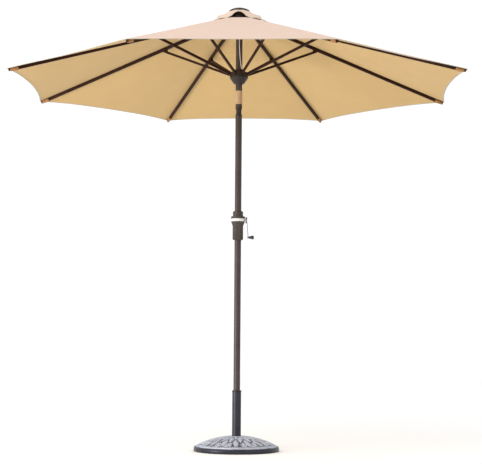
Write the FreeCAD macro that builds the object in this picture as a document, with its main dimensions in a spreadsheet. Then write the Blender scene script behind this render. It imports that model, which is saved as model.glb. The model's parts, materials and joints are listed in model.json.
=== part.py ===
import FreeCAD, Part
import os
import re

import Sketcher
from FreeCAD import Vector

# A crank-lift patio umbrella that stands in a round cast base. Millimetres, +Z up, origin on the floor
# under the middle of the pole. The front is -Y and the crank is on the +X side.

SIZES = {
    # cast base and the tube that stands in it
    "base_radius": 242,
    "base_shoulder": 6,
    "base_foot_width": 37,
    "base_rim_height": 24,
    "base_rim_round": 3.85,
    "dome_rise": 59,
    "base_hollow_height": 14,
    "bolt_radius": 5,
    "bolt_head_radius": 9,
    "bolt_head_height": 7,
    "bolt_recess_radius": 14,
    "bolt_recess_height": 24,
    "tube_wall": 2,
    "tube_gap": 4.4,
    "tube_bottom": 60,
    "tube_plate": 6,
    "tube_top": 335,
    "clamp_drop": 39,
    "clamp_boss_length": 10.6,
    "collar_lip_height": 6,
    "collar_lip_width": 1.8,
    "collar_depth": 18,
    "clamp_boss_radius": 9,
    "clamp_screw_radius": 4,
    "knob_gap": 4,
    "knob_radius": 18,
    "knob_width": 15,
    "knob_scallop": 5,
    # pole
    "pole_radius": 19,
    "pole_wall": 1.2,
    "foot_cap_height": 4,
    "foot_plug_height": 14,
    "pole_gap_low": 26,
    "pole_gap_high": 25,
    # crank housing
    "crank_height": 1312,
    "housing_below": 114,
    "housing_above": 51,
    "housing_wall": 11,
    "housing_collar_wall": 10.5,
    "taper_below": 34,
    "flange_width": 10,
    "cavity_width": 8,
    "bush_length": 6.5,
    "housing_chamfer": 8,
    "flange_thickness": 13,
    "band_half_height": 8,
    "band_inset": 1,
    "band_thickness": 3,
    "bush_radius": 8,
    "shaft_radius": 5,
    "drum_radius": 8.65,
    "drum_flange_radius": 16,
    "drum_half_length": 13,
    "drum_flange": 2,
    "brake_wire": 1.6,
    "brake_turns": 4,
    "housing_screw_radius": 1.75,
    "screw_edge": 20,
    "screw_spacing": 44,
    "housing_screw_seat": 13.5,
    "crank_hub_radius": 18,
    "crank_hub_width": 10,
    "crank_gap": 3,
    "hub_cap": 3,
    "crank_throw": 99,
    "crank_arm_width": 9,
    "crank_arm_thickness": 4,
    "crank_arm_lean": 8,
    "grip_pin_radius": 2.5,
    "grip_length": 30,
    "grip_small_radius": 5.5,
    "grip_large_radius": 11.5,
    # tilt joint
    "tilt_height": 1940,
    "tilt_collar_gap": 17,
    "tilt_collar_height": 7,
    "tilt_collar_width": 0.6,
    "tilt_plug_height": 40,
    "tongue_radius": 15,
    "tongue_half": 7,
    "tilt_pin_radius": 4,
    "button_radius": 5.6,
    "button_drop": 46,
    "button_proud": 0.5,
    "button_length": 12,
    "button_bore_depth": 23,
    "button_wire": 0.8,
    # lift cord and pulley
    "cord_radius": 1.75,
    "cord_stand_off": 4,
    "cord_bend_height": 77,
    "cord_knot": 16,
    "pulley_half_width": 3,
    "pulley_drop": 37,
    "pulley_lip": 2.75,
    "pulley_rim": 0.8,
    "pulley_pin_radius": 2,
    # crown, runner and the rib linkage
    "strap_thickness": 0.9,
    "strap_gap": 19,
    "strap_height": 78,
    "crown_height": 2505,
    "crown_below": 12,
    "crown_above": 15,
    "crown_lip": 17,
    "core_wall": 11,
    "ring_radius": 45,
    "ring_wire": 2,
    "boss_radius": 8,
    "hinge_plate": 8,
    "runner_drop": 350,
    "runner_below": 52,
    "runner_above": 30,
    "rim_below": 18,
    "rim_above": 13,
    "runner_lip": 8,
    "waist_wall": 10.5,
    "strut_pivot_radius": 480,
    "canopy_rise": 0.31,
    "rib_width": 12,
    "rib_depth": 18,
    "rib_wall": 0.6,
    "rib_start": 75,
    "rib_cap_length": 41,
    "rib_short": 5,
    "rib_plate_overlap": 35,
    "bracket_sheet": 2.2,
    "bracket_gap": 1.149,
    "bracket_length": 26,
    "bracket_radius": 6.5,
    "strut_width": 10,
    "strut_depth": 14,
    "strut_wall": 0.6,
    "strut_start": 22,
    "strut_pin_radius": 2.5,
    # canopy
    "canopy_radius": 1350,
    "cloth_gap": 0.8,
    "canopy_hem_sag": 40,
    "canopy_opening": 140,
    "fabric_thickness": 1,
    "gore_gap": 0.4,
    "vent_rise": 0.628,
    "vent_clearance": 4.064,
    "vent_tuck": 2,
    "vent_radius": 178,
    "vent_hem_sag": 46,
    "vent_sewn_sag": 12,
    "finial_radius": 59,
    "finial_gap": 1.796,
    "finial_rise": 17,
    "finial_edge": 4,
    "finial_stem_radius": 6,
    # clearances
    "fit_gap": 0.05,
    "running_gap": 0.08,
    "loose_gap": 0.3,
    "runner_gap": 1.5,
    "channel_gap": 1.2,
}

# Sizes that follow from the driving ones, as expressions.
WORKED = {
    "dome_radius": "base_radius - base_shoulder",
    "base_hollow_radius": "base_radius - base_foot_width",
    "tube_radius": "pole_radius + tube_gap + tube_wall",
    "clamp_height": "tube_top - clamp_drop",
    "clamp_boss_reach": "tube_radius + clamp_boss_length",
    "knob_start": "clamp_boss_reach + knob_gap",
    "lower_pole_top": "crank_height - pole_gap_low",
    "mid_pole_bottom": "crank_height + pole_gap_high",
    "housing_bottom": "crank_height - housing_below",
    "housing_taper_bottom": "crank_height - taper_below",
    "housing_half_width": "pole_radius + housing_wall",
    "flange_radius": "housing_half_width + flange_width",
    "band_radius": "flange_radius - band_inset",
    "neck_radius": "band_radius - band_thickness",
    "housing_collar_radius": "pole_radius + housing_collar_wall",
    "housing_top": "crank_height + housing_above",
    "cavity_radius": "pole_radius + cavity_width",
    "shaft_back": "cavity_radius + bush_length",
    "shaft_front": "crank_hub_start + crank_hub_width - hub_cap",
    "housing_screw_offset": "(pole_radius + housing_half_width) / 2 + 0.1",
    "housing_screw_low": "housing_bottom + screw_edge",
    "housing_screw_high": "housing_screw_low + screw_spacing",
    "crank_hub_start": "flange_radius + crank_gap",
    "grip_start": "crank_hub_start + crank_hub_width + crank_arm_lean",
    "tilt_collar_radius": "pole_radius + tilt_collar_width",
    "ear_start": "tongue_half + loose_gap",
    "button_height": "tilt_height - button_drop",
    "pulley_height": "crown_height - pulley_drop",
    "pulley_pin_half": "sqrt((pole_radius - 0.2) ^ 2 - (pulley_forward + pulley_pin_radius) ^ 2) + 3.2",
    "pulley_forward": "(pole_radius + cord_stand_off) / 2",
    "pulley_groove": "pulley_forward - cord_radius",
    "pulley_flange": "pulley_groove + pulley_lip",
    "upper_pole_top": "crown_height - 1",
    "strap_bottom": "upper_pole_bottom + strap_gap",
    "strap_top": "strap_bottom + strap_height",
    "crown_bottom": "crown_height - crown_below",
    "crown_top": "crown_height + crown_above",
    "crown_radius": "ring_radius + crown_lip",
    "crown_core": "pole_radius + core_wall",
    "runner_height": "crown_height - runner_drop",
    "runner_bottom": "runner_height - runner_below",
    "runner_top": "runner_height + runner_above",
    "runner_rim_low": "runner_height - rim_below",
    "runner_rim_high": "runner_height + rim_above",
    "runner_radius": "ring_radius + runner_lip",
    "runner_waist": "pole_radius + waist_wall",
    "runner_core": "pole_radius + core_wall",
    "rib_end": "rib_tip - rib_cap_length",
    "rib_tip": "(canopy_radius - rib_short - ring_radius) / cos(slope)",
    "cloth_drop": "(rib_drop - rib_depth / 2 - cloth_gap) / cos(slope)",
    "canopy_apex": "crown_height + ring_radius * canopy_rise - cloth_drop",
    "vent_apex": "crown_top + crown_radius * vent_rise + vent_clearance",
    "vent_inner": "finial_radius - vent_tuck",
    "finial_bottom": "vent_apex - vent_inner * vent_rise + finial_gap",
    "dome_top": "base_rim_height + dome_rise",
    "dome_sphere": "(dome_radius ^ 2 + dome_rise ^ 2) / (2 * dome_rise)",
    "finial_sphere": "(finial_radius ^ 2 + finial_rise ^ 2) / (2 * finial_rise)",
    "tube_bore": "tube_radius - tube_wall",
    "tube_floor": "tube_bottom + tube_plate",
    "pole_bore": "pole_radius - pole_wall",
    "pole_bottom": "tube_floor + 0.1 + foot_cap_height",
    "band_low": "crank_height - band_half_height",
    "band_high": "crank_height + band_half_height",
    "housing_corner": "housing_half_width / cos(22.5)",
    "grip_height": "crank_height - crank_throw",
    "arm_start": "crank_hub_start + crank_hub_width - crank_arm_thickness",
    "drum_reach": "drum_radius + cord_radius",
    "drum_reach_back": "sqrt(cavity_radius ^ 2 - drum_radius ^ 2) - 0.6",
    "brake_radius": "drum_radius + loose_gap + brake_wire / 2",
    "brake_start": "0.6 + brake_wire / 2 - sqrt(cavity_radius ^ 2 - (brake_radius + brake_wire) ^ 2)",
    "tilt_low": "tilt_height - tilt_collar_gap",
    "tilt_high": "tilt_height + tilt_collar_gap",
    "mid_pole_top": "tilt_low - tilt_collar_height",
    "upper_pole_bottom": "tilt_high + tilt_collar_height",
    "slope": "atan(canopy_rise)",
    "ring_hole": "ring_wire + hinge_plate ^ 2 / (8 * ring_radius) + running_gap",
    "pivot_drop": "(crown_height - runner_height) / 2",
    "pivot_reach": "strut_pivot_radius - ring_radius",
    "strut_length": "sqrt(pivot_drop ^ 2 + pivot_reach ^ 2)",
    "strut_slope": "atan(pivot_drop / pivot_reach)",
    "pivot_along": "pivot_reach * cos(slope) + pivot_drop * sin(slope)",
    "pivot_below": "pivot_drop * cos(slope) - pivot_reach * sin(slope)",
    "rib_drop": "pivot_below - boss_radius + 1 - rib_depth / 2 - bracket_gap",
    "runner_bore": "pole_radius + runner_gap",
}
WORDS = re.compile(r"[a-z][a-z_]*[a-z]")

doc = FreeCAD.newDocument("patio_umbrella")
sheet = doc.addObject("Spreadsheet::Sheet", "Sizes")
for row, (alias, size) in enumerate(SIZES.items(), 1):
    sheet.set(f"A{row}", alias)
    sheet.set(f"B{row}", str(size))
    sheet.setAlias(f"B{row}", alias)
doc.recompute()
nodes = {}


def bound(text):
    """An expression over the sheet's cells, from one that uses the plain names of sizes."""

    def swap(match):
        word = match.group(0)
        if word in SIZES:
            return "Sizes." + word
        return "(" + bound(WORKED[word]) + ")" if word in WORKED else word

    return WORDS.sub(swap, str(text))


def number(text):
    """What an expression comes to now."""
    return float(sheet.evalExpression(bound(text)))


def placed(at, turn=None, angle="0"):
    """The expression of a Placement at a point, turned by an angle about an axis."""
    axis = turn or ("0", "0", "1")
    spot = "; ".join(bound(v) for v in at)
    return f"placement(vector({spot}); rotation(vector({'; '.join(axis)}); {bound(angle)}))"


ALONG = {"z": placed((0, 0, 0)), "x": placed((0, 0, 0), ("0", "1", "0"), "90")}
ALONG["y"] = placed((0, 0, 0), ("1", "0", "0"), "-90")
ORIGIN = ("0", "0", "0")


def primitive(kind, at, along, lean, **sizes):
    """One Part primitive, with its sizes and its place bound to the sheet."""
    shape = doc.addObject("Part::" + kind, kind.lower())
    for prop, text in sizes.items():
        shape.setExpression(prop, bound(text))
    frame = lean + " * " if lean else ""
    shape.setExpression("Placement", f"{frame}{placed(at)} * {ALONG[along]}")
    return shape


def cylinder(radius, length, at=ORIGIN, along="z", lean=""):
    return primitive("Cylinder", at, along, lean, Radius=radius, Height=length)


def cone(radius, far_radius, length, at=ORIGIN, along="z"):
    return primitive("Cone", at, along, "", Radius1=radius, Radius2=far_radius, Height=length)


def torus(ring, wire, at=ORIGIN):
    return primitive("Torus", at, "z", "", Radius1=ring, Radius2=wire)


def ball(radius, at=ORIGIN):
    return primitive("Sphere", at, "z", "", Radius=radius)


def box(low, high, lean=""):
    """A box between two corners."""
    length, width, height = (f"({b}) - ({a})" for a, b in zip(low, high))
    return primitive("Box", low, "z", lean, Length=length, Width=width, Height=height)


def fused(*shapes):
    whole = doc.addObject("Part::MultiFuse", "fused")
    whole.Shapes = list(shapes)
    whole.Refine = True
    return whole


def cut(base, *tools):
    left = doc.addObject("Part::Cut", "cut")
    left.Base = base
    left.Tool = tools[0] if len(tools) == 1 else fused(*tools)
    return left


def common(first, second):
    shared = doc.addObject("Part::Common", "common")
    shared.Base = first
    shared.Tool = second
    return shared


def group(*shapes):
    """Separate solids that share one node."""
    several = doc.addObject("Part::Compound", "group")
    several.Links = list(shapes)
    return several


def tube(radius, bore, low, high):
    """A round tube that stands on the pole's axis."""
    outside = cylinder(radius, f"({high}) - ({low})", (0, 0, low))
    inside = cylinder(bore, f"({high}) - ({low}) + 2", (0, 0, f"({low}) - 1"))
    return cut(outside, inside)


def sketched(plane, corners):
    """A body and its closed sketch, each corner tied to the sheet."""
    body = doc.addObject("PartDesign::Body", "body")
    sketch = body.newObject("Sketcher::SketchObject", "outline")
    role = next(f for f in body.Origin.OriginFeatures if f.Role == plane)
    sketch.AttachmentSupport = (role, [""])
    sketch.MapMode = "FlatFace"
    points = [Vector(number(u), number(v), 0) for u, v in corners]
    count = len(points)
    for i in range(count):
        sketch.addGeometry(Part.LineSegment(points[i], points[(i + 1) % count]), False)
    for i in range(count):
        sketch.addConstraint(Sketcher.Constraint("Coincident", i, 2, (i + 1) % count, 1))
    for i, corner in enumerate(corners):
        for kind, text, place in zip(("DistanceX", "DistanceY"), corner, points[i]):
            tie = sketch.addConstraint(Sketcher.Constraint(kind, -1, 1, i, 1, place))
            sketch.setExpression(f"Constraints[{tie}]", bound(text))
    doc.recompute()
    return body, sketch


def turned(corners):
    """A piece turned about the pole's axis from an outline of (radius, height) corners."""
    body, sketch = sketched("XZ_Plane", corners)
    turn = body.newObject("PartDesign::Revolution", "turn")
    turn.Profile = sketch
    turn.ReferenceAxis = (sketch, ["V_Axis"])
    turn.Angle = 360
    return body


def plate(plane, corners, thickness):
    """A flat plate, half its thickness on each side of the plane."""
    body, sketch = sketched(plane, corners)
    pad = body.newObject("PartDesign::Pad", "pad")
    pad.Profile = sketch
    pad.Midplane = True
    pad.setExpression("Length", bound(thickness))
    return body


def coil(radius, wire, length, turns, at, along, square=False):
    """A coil spring of round or square wire."""
    path = doc.addObject("Part::Helix", "helix")
    path.setExpression("Radius", bound(radius))
    path.setExpression("Pitch", bound(f"({length}) / ({turns})"))
    path.setExpression("Height", bound(length))
    upright = placed((radius, 0, 0), ("1", "0", "0"), "90")
    if square:
        end = doc.addObject("Part::RegularPolygon", "wire")
        end.Polygon = 4
        end.setExpression("Circumradius", bound(f"({wire}) / sqrt(2)"))
        end.setExpression("Placement", f"{upright} * {placed(ORIGIN, None, '45')}")
    else:
        end = doc.addObject("Part::Circle", "wire")
        end.setExpression("Radius", bound(f"({wire}) / 2"))
        end.setExpression("Placement", upright)
    spring = doc.addObject("Part::Sweep", "coil")
    spring.Sections = [end]
    spring.Spine = (path, [])
    spring.Solid = True
    spring.Frenet = True
    spring.setExpression("Placement", f"{placed(at)} * {ALONG[along]}")
    return spring


def node(name, shape):
    """Gives a finished piece the name of its node."""
    shape.Label = name
    nodes[name] = shape
    return shape


def base():
    """The cast base, its tube, and the clamp that holds the pole."""
    rim = cylinder("base_radius", "base_rim_height", (0, 0, 0))
    sphere = ball("dome_sphere", (0, 0, "dome_top - dome_sphere"))
    above = cylinder("dome_radius", "dome_rise + 10", (0, 0, "base_rim_height - 10"))
    block = fused(rim, common(above, sphere))
    hollow = cylinder("base_hollow_radius", "base_hollow_height + 1", (0, 0, -1))
    recess = cylinder("bolt_recess_radius", "bolt_recess_height", (0, 0, 0))
    bolt_hole = cylinder("bolt_radius + fit_gap", "dome_top", (0, 0, 0))
    socket = cylinder("tube_radius + fit_gap", "dome_top", (0, 0, "tube_bottom"))
    softened = doc.addObject("Part::Fillet", "rim_round")
    cast = cut(block, hollow, recess, bolt_hole, socket)
    doc.recompute()
    softened.Base = cast
    edges = cast.Shape.Edges
    outer = [i + 1 for i, e in enumerate(edges) if round_edge(e, "base_radius", "base_rim_height")]
    softened.Edges = [(i, number("base_rim_round"), number("base_rim_round")) for i in outer]
    node("base_plate", softened)

    shell = cut(
        cylinder("tube_radius", "tube_top - tube_bottom", (0, 0, "tube_bottom")),
        cylinder("tube_bore", "tube_top", (0, 0, "tube_floor")),
        cylinder("bolt_radius + fit_gap", "20", (0, 0, "tube_bottom - 5")),
        cylinder("clamp_screw_radius + running_gap", "60", (0, 0, "clamp_height"), "y"),
    )
    nut = cut(
        cylinder(
            "clamp_boss_radius",
            "clamp_boss_reach - tube_bore",
            (0, "tube_bore", "clamp_height"),
            "y",
        ),
        cylinder("tube_radius - 0.5", "60", (0, 0, "clamp_height - 30")),
        cylinder("clamp_screw_radius + running_gap", "60", (0, 0, "clamp_height"), "y"),
    )
    node("base_tube", fused(shell, nut))

    head = primitive(
        "Prism",
        (0, 0, "bolt_recess_height - bolt_head_height"),
        "z",
        "",
        Circumradius="bolt_head_radius",
        Height="bolt_head_height",
    )
    shank = cylinder("bolt_radius", "tube_floor - bolt_recess_height", (0, 0, "bolt_recess_height"))
    node("base_bolt", fused(head, shank))

    sleeve = tube("tube_bore - fit_gap", "pole_radius + running_gap", "tube_top - collar_depth", "tube_top")
    lip = tube(
        "tube_radius + collar_lip_width",
        "pole_radius + running_gap",
        "tube_top",
        "tube_top + collar_lip_height",
    )
    node("tube_collar", fused(sleeve, lip))

    screw = cylinder(
        "clamp_screw_radius",
        "knob_start + 8 - pole_radius - fit_gap",
        (0, "pole_radius + fit_gap", "clamp_height"),
        "y",
    )
    node("clamp_screw", screw)
    grip = cylinder("knob_radius", "knob_width", (0, "knob_start", "clamp_height"), "y")
    scallops = []
    for angle in range(0, 360, 60):
        across = f"(knob_radius + 2) * cos({angle})"
        up = f"clamp_height + (knob_radius + 2) * sin({angle})"
        scallops.append(cylinder("knob_scallop", "knob_width + 2", (across, "knob_start - 1", up), "y"))
    bore = cylinder("clamp_screw_radius", "9", (0, "knob_start - 1", "clamp_height"), "y")
    node("clamp_knob", cut(grip, bore, *scallops))


def round_edge(edge, radius, height):
    """Whether an edge is the circle of this radius at this height."""
    curve = edge.Curve
    if not isinstance(curve, Part.Circle) or len(edge.Vertexes) != 1:
        return False
    return abs(curve.Radius - number(radius)) < 0.01 and abs(curve.Center.z - number(height)) < 0.01


def pole():
    """The lower and middle poles, with the cap that the pole stands on."""
    node("lower_pole", tube("pole_radius", "pole_bore", "pole_bottom", "lower_pole_top"))
    foot = cylinder("tube_bore - loose_gap", "foot_cap_height", (0, 0, "tube_floor + 0.1"))
    plug = cylinder("pole_bore - fit_gap", "foot_plug_height", (0, 0, "pole_bottom"))
    node("pole_foot_cap", fused(foot, plug))
    button_hole = cylinder("button_radius + 0.15", "40", (0, 0, "button_height"), "y")
    middle = tube("pole_radius", "pole_bore", "mid_pole_bottom", "mid_pole_top")
    node("mid_pole", cut(middle, button_hole))


def housing():
    """The crank housing: two shells, the white band, screws, bushes and the brake spring."""

    def shell(low, high):
        outline = [
            ("0", "housing_taper_bottom"),
            ("housing_half_width", "housing_taper_bottom"),
            ("flange_radius", "band_low"),
            ("neck_radius", "band_low"),
            ("neck_radius", "band_high"),
            ("flange_radius", "band_high"),
            ("flange_radius", "band_high + flange_thickness"),
            ("housing_collar_radius", "band_high + flange_thickness"),
            ("housing_collar_radius", "housing_top - 3"),
            ("housing_collar_radius - 3", "housing_top"),
            ("0", "housing_top"),
        ]
        eight_sided = primitive(
            "Prism",
            (0, 0, "housing_bottom"),
            "z",
            placed(ORIGIN, None, "22.5"),
            Circumradius="housing_corner",
            Height="band_low - housing_bottom",
        )
        eight_sided.Polygon = 8
        pointed = cone(
            "housing_half_width - 3",
            "housing_half_width + 97",
            "100 * housing_chamfer / 8",
            (0, 0, "housing_bottom"),
        )
        body = fused(turned(outline), common(eight_sided, pointed))
        hollows = [
            cylinder(
                "pole_radius + fit_gap",
                "housing_top - housing_bottom + 2",
                (0, 0, "housing_bottom - 1"),
            ),
            cylinder("cavity_radius", "mid_pole_bottom - lower_pole_top", (0, 0, "lower_pole_top")),
            cylinder(
                "bush_radius",
                "shaft_back + flange_radius + 5",
                ("-shaft_back - 0.5", 0, "crank_height"),
                "x",
            ),
        ]
        for side in (-1, 1):
            for height in ("housing_screw_low", "housing_screw_high"):
                x = f"{side} * housing_screw_offset"
                hollows.append(cylinder("housing_screw_radius + fit_gap", "33", (x, -12, height), "y"))
                hollows.append(
                    cylinder("2 * housing_screw_radius + 0.2", "20", (x, "housing_screw_seat", height), "y")
                )
        half = box((-60, low, "housing_bottom - 5"), (60, high, "housing_top + 5"))
        return common(cut(body, *hollows), half)

    node("housing_front", shell("-60", "-fit_gap"))
    node("housing_rear", shell("fit_gap", "60"))
    ring = tube("band_radius", "neck_radius + fit_gap", "band_low + fit_gap", "band_high - fit_gap")
    node("housing_ring", cut(ring, cylinder("shaft_radius + 1", "60", (0, 0, "crank_height"), "x")))

    screws = []
    for side in (-1, 1):
        for height in ("housing_screw_low", "housing_screw_high"):
            x = f"{side} * housing_screw_offset"
            shank = cylinder("housing_screw_radius", "housing_screw_seat + 11", (x, -11, height), "y")
            head = cylinder("2 * housing_screw_radius", "2.5", (x, "housing_screw_seat", height), "y")
            screws.append(fused(shank, head))
    node("housing_screws", group(*screws))

    bushes = [
        cut(
            cylinder(
                "bush_radius - fit_gap",
                "shaft_back - cavity_radius",
                (start, 0, "crank_height"),
                "x",
            ),
            cylinder("shaft_radius + running_gap", "20", (f"({start}) - 5", 0, "crank_height"), "x"),
        )
        for start in ("-shaft_back", "cavity_radius")
    ]
    node("shaft_bushes", group(*bushes))
    brake = coil(
        "brake_radius",
        "brake_wire",
        "brake_turns * brake_wire * 1.15",
        "brake_turns",
        ("brake_start", 0, "crank_height"),
        "x",
        square=True,
    )
    node("brake_spring", brake)


def crank():
    """The cord drum on its shaft, the crank arm and the grip that turns on its pin."""
    shaft = cylinder("shaft_radius", "shaft_back + shaft_front", ("-shaft_back", 0, "crank_height"), "x")
    node("drum_shaft", shaft)
    core = cylinder(
        "drum_radius",
        "drum_reach_back + drum_half_length",
        ("-drum_reach_back", 0, "crank_height"),
        "x",
    )
    cheeks = [
        cylinder("drum_flange_radius", "drum_flange", (x, 0, "crank_height"), "x")
        for x in ("-drum_half_length", "drum_half_length - drum_flange")
    ]
    bore = cylinder("shaft_radius", "60", (-30, 0, "crank_height"), "x")
    node("cord_drum", cut(fused(core, *cheeks), bore))

    hub = cylinder("crank_hub_radius", "crank_hub_width", ("crank_hub_start", 0, "crank_height"), "x")
    lean = placed(("arm_start", 0, "crank_height"), ("0", "1", "0"), "-atan(crank_arm_lean / crank_throw)")
    blade = box(
        (0, "-crank_arm_width / 2", "-crank_throw"),
        ("crank_arm_thickness", "crank_arm_width / 2", "0"),
        lean,
    )
    eye = cylinder(
        "crank_arm_width * 0.75",
        "crank_arm_thickness + 1",
        ("grip_start - crank_arm_thickness - 2", 0, "grip_height"),
        "x",
    )
    pin = cylinder(
        "grip_pin_radius",
        "grip_length + crank_arm_thickness + 2",
        ("grip_start - crank_arm_thickness - 1", 0, "grip_height"),
        "x",
    )
    head = cylinder("grip_pin_radius + 2", "1.5", ("grip_start + grip_length + 0.5", 0, "grip_height"), "x")
    shaft_hole = cylinder("shaft_radius", "shaft_front", (0, 0, "crank_height"), "x")
    node("crank_arm", cut(fused(hub, blade, eye, pin, head), shaft_hole))

    flare = cone(
        "grip_small_radius",
        "grip_large_radius",
        "grip_length - 5",
        ("grip_start", 0, "grip_height"),
        "x",
    )
    nose = cone(
        "grip_large_radius",
        "grip_large_radius - 2.5",
        "5",
        ("grip_start + grip_length - 5", 0, "grip_height"),
        "x",
    )
    bore = cylinder("grip_pin_radius + running_gap", "60", ("grip_start - 5", 0, "grip_height"), "x")
    node("crank_grip", cut(fused(flare, nose), bore))


def tilt():
    """The tilt joint: a tongue on the middle pole, a fork on the upper one, a pin and a push button."""
    channel = ("0", "-drum_reach")
    knuckle = [
        cylinder("pole_bore - fit_gap", "tilt_plug_height", (0, 0, "mid_pole_top - tilt_plug_height")),
        cylinder("tilt_collar_radius", "tilt_collar_height", (0, 0, "mid_pole_top")),
        box(
            ("-tongue_radius", "-tongue_half", "tilt_low - 1"),
            ("tongue_radius", "tongue_half", "tilt_height"),
        ),
        cylinder("tongue_radius", "2 * tongue_half", (0, "-tongue_half", "tilt_height"), "y"),
    ]
    holes = [
        cylinder(
            "tilt_pin_radius + running_gap",
            "4 * tongue_half",
            (0, "-2 * tongue_half", "tilt_height"),
            "y",
        ),
        cylinder(
            "button_radius + 0.1",
            "40",
            (0, "pole_radius + button_proud - button_bore_depth", "button_height"),
            "y",
        ),
        cylinder("cord_radius + channel_gap", "100", (*channel, "mid_pole_top - 60")),
    ]
    node("tilt_tongue", cut(fused(*knuckle), *holes))

    prongs = []
    for near, far in (("-tilt_collar_radius - 1", "-ear_start"), ("ear_start", "tilt_collar_radius + 1")):
        prongs.append(box(("-tongue_radius", near, "tilt_height"), ("tongue_radius", far, "tilt_high + 1")))
        prongs.append(cylinder("tongue_radius", f"({far}) - ({near})", (0, near, "tilt_height"), "y"))
    ears = common(fused(*prongs), cylinder("tilt_collar_radius", "60", (0, 0, "tilt_height - 30")))
    collar = cylinder("tilt_collar_radius", "tilt_collar_height", (0, 0, "tilt_high"))
    plug = cylinder("pole_bore - fit_gap", "tilt_plug_height", (0, 0, "upper_pole_bottom"))
    pin_hole = cylinder(
        "tilt_pin_radius",
        "2 * tilt_collar_radius + 2",
        (0, "-tilt_collar_radius - 1", "tilt_height"),
        "y",
    )
    channel_hole = cylinder("cord_radius + channel_gap", "100", (*channel, "tilt_high - 0.5"))
    node("tilt_fork", cut(fused(ears, collar, plug), pin_hole, channel_hole))
    half = "(pole_radius - 0.6)"
    node("tilt_pin", cylinder("tilt_pin_radius", f"2 * {half}", (0, f"-{half}", "tilt_height"), "y"))

    face = "pole_radius + button_proud"
    back = f"{face} - button_length"
    node("tilt_button", cylinder("button_radius", "button_length", (0, back, "button_height"), "y"))
    spring = coil(
        "button_radius - 2",
        "button_wire",
        "button_bore_depth - button_length - button_wire - 0.4",
        "6",
        (0, f"{face} - button_bore_depth + button_wire / 2 + 0.2", "button_height"),
        "y",
    )
    node("button_spring", spring)


def upper_pole():
    """The upper pole, the tie strap round it, the crown hub and the finial."""
    window = box(
        ("-pulley_half_width - 0.6", "-pole_radius - 1", "pulley_height - pulley_flange - 3"),
        ("pulley_half_width + 0.6", "-3", "pulley_height + pulley_flange + 3"),
    )
    pin_hole = cylinder("pulley_pin_radius", "60", (-30, "-pulley_forward", "pulley_height"), "x")
    straight = tube("pole_radius", "pole_bore", "upper_pole_bottom", "upper_pole_top")
    node("upper_pole", cut(straight, window, pin_hole))
    strap = tube("pole_radius + strap_thickness", "pole_radius + fit_gap", "strap_bottom", "strap_top")
    node("tie_strap", strap)

    block = cylinder("crown_radius", "crown_top - crown_bottom", (0, 0, "crown_bottom"))
    hollows = [
        cylinder("pole_radius + fit_gap", "upper_pole_top - crown_bottom + 1", (0, 0, "crown_bottom - 1")),
        cylinder("finial_stem_radius", "60", (0, 0, "crown_bottom")),
        torus("ring_radius", "ring_wire", (0, 0, "crown_height")),
    ]
    for angle in range(8):
        hollows.append(
            box(
                ("crown_core", "-hinge_plate / 2 - loose_gap", "crown_bottom - 1"),
                ("crown_radius + 5", "hinge_plate / 2 + loose_gap", "crown_height + boss_radius + 1"),
                placed(ORIGIN, None, str(22.5 + 45 * angle)),
            )
        )
    node("crown_hub", cut(block, *hollows))
    node("crown_ring", torus("ring_radius", "ring_wire", (0, 0, "crown_height")))

    cap = common(
        ball("finial_sphere", (0, 0, "finial_bottom + finial_edge + finial_rise - finial_sphere")),
        cylinder("finial_radius", "finial_edge + finial_rise + 2", (0, 0, "finial_bottom")),
    )
    stem = cylinder(
        "finial_stem_radius",
        "finial_bottom - upper_pole_top - 1",
        (0, 0, "upper_pole_top + 2"),
    )
    node("finial", fused(cap, stem))


def pulley():
    """The pulley at the top of the pole, on its pin."""

    def across(radius, length, start):
        return cylinder(radius, length, (start, "-pulley_forward", "pulley_height"), "x")

    start = "-pulley_half_width"
    wheel = across("pulley_flange", "2 * pulley_half_width", start)
    ring = across("pulley_flange + 1", "2 * (pulley_half_width - pulley_rim)", f"{start} + pulley_rim")
    groove = cut(ring, across("pulley_groove", "20", f"{start} - 5"))
    bore = across("pulley_pin_radius + running_gap", "20", f"{start} - 5")
    node("top_pulley", cut(wheel, groove, bore))
    node("pulley_pin", across("pulley_pin_radius", "2 * pulley_pin_half", "-pulley_pin_half"))


def runner():
    """The runner that slides on the pole and carries the struts' inner ends."""
    outline = [
        ("runner_bore", "runner_bottom"),
        ("runner_waist", "runner_bottom"),
        ("runner_radius", "runner_rim_low"),
        ("runner_radius", "runner_rim_high"),
        ("runner_core", "runner_rim_high"),
        ("runner_core", "runner_top"),
        ("runner_bore", "runner_top"),
    ]
    slots = [
        box(
            ("runner_core", "-hinge_plate / 2 - loose_gap", "runner_height - boss_radius - 1"),
            ("runner_radius + 5", "hinge_plate / 2 + loose_gap", "runner_top + 5"),
            placed(ORIGIN, None, str(22.5 + 45 * angle)),
        )
        for angle in range(8)
    ]
    node("runner", cut(turned(outline), torus("ring_radius", "ring_wire", (0, 0, "runner_height")), *slots))
    node("runner_ring", torus("ring_radius", "ring_wire", (0, 0, "runner_height")))


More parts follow.
